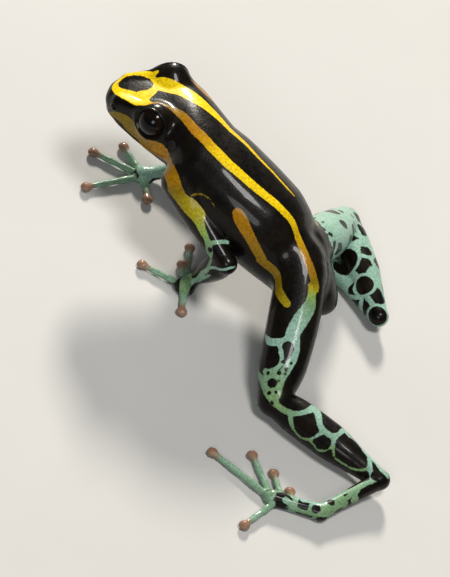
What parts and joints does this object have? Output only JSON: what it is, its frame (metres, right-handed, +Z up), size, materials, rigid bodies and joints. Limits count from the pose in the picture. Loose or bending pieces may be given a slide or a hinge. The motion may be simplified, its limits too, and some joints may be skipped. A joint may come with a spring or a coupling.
{
  "type": "reticulated poison frog",
  "caption": "Still life-size model of a small striped poison frog standing on a flat floor, body raised and leaning, one hind leg stretched out and the other folded.",
  "frame": {"origin": "middle of the animal's box, on the floor it stands on", "axes": "+Z up, the head points to -Y, the animal's left side is +X"},
  "size_m": [0.0234, 0.025, 0.0085],
  "materials": {
    "striped_skin": "wet glossy black skin with yellow stripes",
    "netted_skin": "wet glossy skin, pale turquoise net round black spots",
    "eye": "clear wet gloss, near black"
  },
  "bodies": {
    "root": {"torso": "striped_skin", "head": "striped_skin", "eye_left": "eye", "eye_right": "eye", "upper_arm_left": "netted_skin", "forearm_left": "netted_skin", "hand_left": "netted_skin", "upper_arm_right": "netted_skin", "forearm_right": "netted_skin", "hand_right": "netted_skin", "thigh_left": "netted_skin", "shank_left": "netted_skin", "tarsus_left": "netted_skin", "foot_left": "netted_skin", "thigh_right": "netted_skin", "shank_right": "netted_skin", "tarsus_right": "netted_skin", "foot_right": "netted_skin"}
  },
  "joints": []
}
